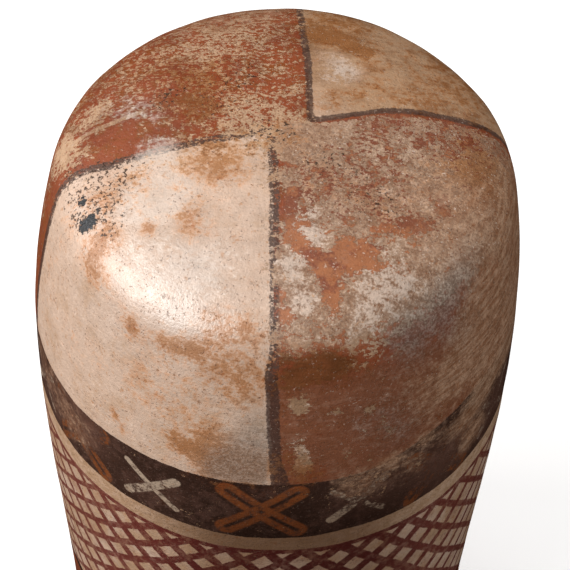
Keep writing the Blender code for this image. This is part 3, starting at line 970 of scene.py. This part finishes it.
def stained_and_highlighted(colour, at, looks):
    """Pale lime, which on the cream quarter is partly a painted highlight, ochre stains and the golden
    brown edge under the crust. Also gives the ochre's cover."""
    # Pale lime bloom; on the cream quarter it is partly a painted highlight
    bloom_and_highlight = (looks.lime * 0.6 + looks.patchy * 1.6).rises(0.10, 0.60) * looks.crusted.flipped()
    bloom_and_highlight = bloom_and_highlight * looks.lime.rises(0.05, 0.3) * at.depth.falls(20.0, 40.0)
    colour = lay(colour, LIME_BLOOM_AND_HIGHLIGHT, bloom_and_highlight * 0.52)
    stain = (looks.ochre * 0.9 + looks.patchy * 2.2).rises(0.05, 0.75)
    stain = stain * looks.ochre.rises(0.02, 0.25)
    in_front = at.y.falls(-14.0, -8.0)
    tinted = lay(colour.stretched(OCHRE_TINT), colour.stretched(FRONT_OCHRE_TINT), in_front)
    colour = lay(colour, tinted, stain)
    colour = lay(colour, DEEP_OCHRE, stain.rises(0.60, 1.0) * 0.5)
    low = at.x.rises(1.0, 3.0) * at.depth.rises(12.0, 16.0) * at.depth.falls(24.0, 30.0)
    golden = stain * low * (looks.brushed.rises(0.35, 0.65) * 0.35 + 0.35)
    return lay(colour, GOLDEN_BROWN, golden), stain


def dusted_sooted_and_shaded(colour, at, looks):
    """Streaky dust, small brown blots, and grey soot above the band, thin on the front outline; near the
    foot of that outline the grey is partly painted shade.
    Also gives the dust's cover."""
    dust = (looks.dusty * 0.9 + looks.patchy).rises(0.05, 0.75) * 0.8
    streaked = looks.streaks * 0.6 + looks.mottle * 0.4
    dust_colour = lay(DARK_DUST, PALE_DUST, streaked.rises(0.40, 0.62))
    colour = lay(colour, dust_colour, dust * looks.dusty.rises(0.02, 0.25))
    colour = lay(colour, colour.stretched(BLOT_TINT), looks.blots.rises(0.60, 0.68) * 0.8)
    # Grey soot; near the foot of the front outline it is partly painted shade
    soot = (looks.smoke * 0.8 + looks.patchy).rises(0.05, 0.85) * looks.smoke.rises(0.02, 0.25)
    grainy = looks.grain * 0.6 + looks.mottle * 0.4
    soot_and_shade_colour = lay(DARK_SOOT_AND_SHADE, PALE_SOOT_AND_SHADE, grainy.rises(0.42, 0.60))
    on_line = at.x.rises(-0.8, 0.4) * at.x.falls(6.0, 8.0) * at.depth.rises(14.0, 20.0)
    soot = soot * (on_line * -0.85 + 1.0) * at.depth.falls(60.8, 62.2)
    return lay(colour, soot_and_shade_colour, soot * 0.55), dust


def pitted(colour, at, looks):
    """Dark pits and pale crumbs. Also gives the pits' cover."""
    clustered = looks.scabs.rises(0.44, 0.60) * 0.05
    pits = (looks.holes + clustered).rises(0.67, 0.73)
    colour = lay(colour, PIT_BROWN, pits * 0.6)
    share = looks.crusted * 0.3 + at.depth.falls(50.0, 60.0) * 0.25 + 0.08
    return lay(colour, CRUMB_PALE, looks.crumbs.rises(0.65, 0.71) * share), pits


def weathered(colour, at, looks, lost, dust):
    """Fine dark streaks, a grain that is coarser on bare clay and on dust, and a darkening of the lower
    front wall that is partly grime and partly painted shade."""
    streaked = (looks.streaks * 0.6 + looks.grain * 0.4).rises(0.38, 0.64)
    colour = lay(colour, colour.scaled(0.82), streaked * 0.6)
    coarse = (lost * 0.35).most(dust * 0.6) + 0.35
    colour = colour.scaled((looks.grain - 0.5) * coarse + looks.mottle * 0.5 + 0.75)
    # Darker towards the bottom of the front wall: partly grime, partly painted shade
    grimed_and_shaded = at.turn.rises(-0.55, -0.05) * at.turn.falls(0.35, 0.85) * at.depth.rises(60.0, 84.0)
    return lay(colour, colour.stretched(GRIME_AND_SHADE_TINT), grimed_and_shaded)


def blackened(colour, looks):
    """Black specks and the two thick black crusts, with a bluish painted highlight on the crusts. Also
    gives their cover.
    """
    scattered = (looks.scatter + looks.specks * 0.09).rises(0.643, 0.673)
    black = scattered * looks.specks.rises(0.15, 0.4) * 0.9
    black = black.most((looks.black_crust + looks.fray * 2.0).rises(0.50, 0.60))
    soot = lay(SPECK_BROWN, CRUST_BLACK, looks.black_crust.rises(0.2, 0.5))
    # Bluish painted highlight on the black crusts
    painted_sheen = looks.black_crust.rises(0.4, 0.7) * looks.grain.rises(0.58, 0.72)
    return lay(colour, lay(soot, CRUST_PAINTED_SHEEN, painted_sheen), black), black


def paint_material(paint):
    """Fired clay under red, cream, dark brown and orange slip, worn through on the base. The
    pattern's lines wander a little, as a brush does."""
    material, tree, shader = new_material("painted_earthenware")
    place = place_in_millimetres(tree)
    looks = surface_looks(tree, place)
    x, y, z = place.moved(drift(place, 26.0, 1.0)).moved(drift(place, 5.0, 0.3)).parts()
    depth = -z + CAD_HIGH[2] / MILLIMETRE
    at = SimpleNamespace(x=x, y=y, depth=depth, turn=x.math("ARCTAN2", -y))
    colour = quarters_painted(at, paint, looks)
    colour = band_painted(colour, at, paint, looks)
    colour = lower_wall_painted(colour, at, paint, looks)
    lost = slip_lost(at, looks)
    colour = islands_kept(colour, at, looks, lost)
    colour = lay(colour, clay_bared(at, paint, looks), lost)
    colour, stain = stained_and_highlighted(colour, at, looks)
    colour, dust = dusted_sooted_and_shaded(colour, at, looks)
    colour, pits = pitted(colour, at, looks)
    colour = weathered(colour, at, looks, lost, dust)
    colour, black = blackened(colour, looks)
    feed(tree, shader.inputs["Base Color"], colour)

    rough = lost * 0.12 + looks.grain * 0.30 + looks.crusted * 0.10 + looks.polished * 0.06 + 0.30
    feed(tree, shader.inputs["Roughness"], rough)
    shader.inputs["IOR"].default_value = 1.85
    gleam = looks.polished * (black.most(stain * 0.6) * -0.8 + 1.0)
    feed(tree, shader.inputs["Specular IOR Level"], gleam * 0.80 + 0.20)
    relief = looks.grain * 0.55 + looks.mottle * 0.35 + looks.streaks * 0.25 + black * 0.6
    relief = relief - lost * 0.30 - pits * 0.7 + looks.veins * looks.crusted * 0.25
    add_relief(tree, shader, relief, 0.60, 0.0005)
    return material


def inside_material():
    """Bare clay of the inside, smoothed by hand while wet and darkened by what it held."""
    material, tree, shader = new_material("bare_inside")
    place = place_in_millimetres(tree)
    clouds = noise(place, 14.0, 4.0, 0.6)
    streaks = noise(place.stretched((1.0, 1.0, 5.0)), 6.0, 4.0, 0.6)
    clay = lay(INSIDE_CLAY, INSIDE_BROWN, clouds.rises(0.35, 0.7))
    clay = lay(clay, INSIDE_STREAK, streaks.rises(0.5, 0.75) * 0.5)
    feed(tree, shader.inputs["Base Color"], clay)
    shader.inputs["Roughness"].default_value = 0.8
    add_relief(tree, shader, streaks, 0.4, 0.0006)
    return material


# The pieces and the stage


class VESSEL_OT_body(bpy.types.Operator):
    """Make the painted vessel: one closed piece of clay with its slip paint"""

    bl_idname = "vessel.body"
    bl_label = "Painted vessel"

    def execute(self, context):
        scene = context.scene
        mesh = make_vessel_mesh(scene.vessel_shape)
        mesh.materials.append(paint_material(scene.vessel_paint))
        mesh.materials.append(inside_material())
        vessel = bpy.data.objects.new("painted_vessel", mesh)
        scene.collection.objects.link(vessel)
        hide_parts("vessel")
        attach(vessel, "root")
        return {"FINISHED"}


def look_from(look, height):
    """Camera place and axes: it looks at the aim point from the front, down by its elevation,
    with its right and up turned about the view line by its roll."""
    back = np.array([0.0, -math.cos(look.elevation), math.sin(look.elevation)])
    right = np.array([1.0, 0.0, 0.0])
    up = np.array([0.0, math.sin(look.elevation), math.cos(look.elevation)])
    rolled_right = math.cos(look.roll) * right + math.sin(look.roll) * up
    rolled_up = math.cos(look.roll) * up - math.sin(look.roll) * right
    aim = np.array([look.aim_right, 0.0, height - look.aim_depth])
    return aim + look.distance * back, rolled_right, rolled_up, back


def soft_light(scene, name, direction, along, sizes, power):
    """A rectangular area light, a metre from the vessel's shoulder in a direction, with its long
    side as near to along as a right angle to that direction lets it be. Only the side light
    shows in the gloss."""
    light = bpy.data.lights.new(name, "AREA")
    light.shape = "RECTANGLE"
    light.size, light.size_y = sizes
    light.energy = power
    light.color = scene.stage_look.light_colour
    lamp = bpy.data.objects.new(name, light)
    lamp.visible_glossy = name == "side_light"
    away = np.array(direction) / np.linalg.norm(direction)
    side = np.array(along) - away * np.dot(along, away)
    side = side / np.linalg.norm(side)
    place = away + np.array([0.0, 0.0, CAD_HIGH[2] - SHOULDER_DEPTH])
    set_place(lamp, place, side, np.cross(away, side), away)
    scene.collection.objects.link(lamp)


def set_place(item, place, right, up, back):
    """Put a camera or a light at a place, with its own axes along right, up and back."""
    axes = np.vstack([np.column_stack([right, up, back, place]), [0.0, 0.0, 0.0, 1.0]])
    item.matrix_world = Matrix(axes.tolist())


class VESSEL_OT_stage(bpy.types.Operator):
    """Make the pale floor, the soft studio lights and the camera at the picture's angle"""

    bl_idname = "vessel.stage"
    bl_label = "Stage"

    def execute(self, context):
        scene = context.scene
        look = scene.stage_look
        bpy.ops.mesh.primitive_plane_add(size=FLOOR_SIZE, location=(0.0, 0.0, -FLOOR_GAP))
        floor = context.object
        floor.name = "pale_floor"
        material, tree, shader = new_material("pale_floor")
        shader.inputs["Base Color"].default_value = FLOOR_GREY
        shader.inputs["Roughness"].default_value = 0.9
        shader.inputs["Emission Color"].default_value = WHITE
        shader.inputs["Emission Strength"].default_value = 0.45
        floor.data.materials.append(material)
        floor.visible_diffuse = False
        floor.visible_glossy = False
        floor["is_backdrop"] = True
        powers = (look.side_power, look.top_power, look.fill_power)
        for (name, direction, along, sizes), power in zip(LIGHTS, powers):
            soft_light(scene, name, direction, along, sizes, power)
        world = bpy.data.worlds.new("studio")
        world.use_nodes = True
        backdrop = world.node_tree.nodes["Background"]
        backdrop.inputs["Color"].default_value = WHITE
        backdrop.inputs["Strength"].default_value = look.ambient
        scene.world = world
        world.cycles_visibility.glossy = False
        scene.view_settings.view_transform = "Standard"
        data = bpy.data.cameras.new("camera")
        data.sensor_width = SENSOR_WIDTH
        data.lens = look.focal_pixels / IMAGE_WIDTH * SENSOR_WIDTH
        camera = bpy.data.objects.new("camera", data)
        set_place(camera, *look_from(look, CAD_HIGH[2]))
        scene.collection.objects.link(camera)
        scene.camera = camera
        return {"FINISHED"}


class VESSEL_PT_panel(bpy.types.Panel):
    """Buttons for the vessel and its stage"""

    bl_label = "Painted vessel"
    bl_space_type = "VIEW_3D"
    bl_region_type = "UI"
    bl_category = "Vessel"

    def draw(self, context):
        for operator in (VESSEL_OT_body, VESSEL_OT_stage):
            self.layout.operator(operator.bl_idname)


CLASSES = (
    VesselShape, VesselPaint, StageLook, VESSEL_OT_body, VESSEL_OT_stage, VESSEL_PT_panel,
)


def register():
    for item in CLASSES:
        bpy.utils.register_class(item)
    bpy.types.Scene.vessel_shape = PointerProperty(type=VesselShape)
    bpy.types.Scene.vessel_paint = PointerProperty(type=VesselPaint)
    bpy.types.Scene.stage_look = PointerProperty(type=StageLook)


def unregister():
    del bpy.types.Scene.stage_look
    del bpy.types.Scene.vessel_paint
    del bpy.types.Scene.vessel_shape
    for item in reversed(CLASSES):
        bpy.utils.unregister_class(item)


def main():
    register()
    bpy.ops.vessel.body()
    bpy.ops.vessel.stage()


if __name__ == "__main__":
    main()
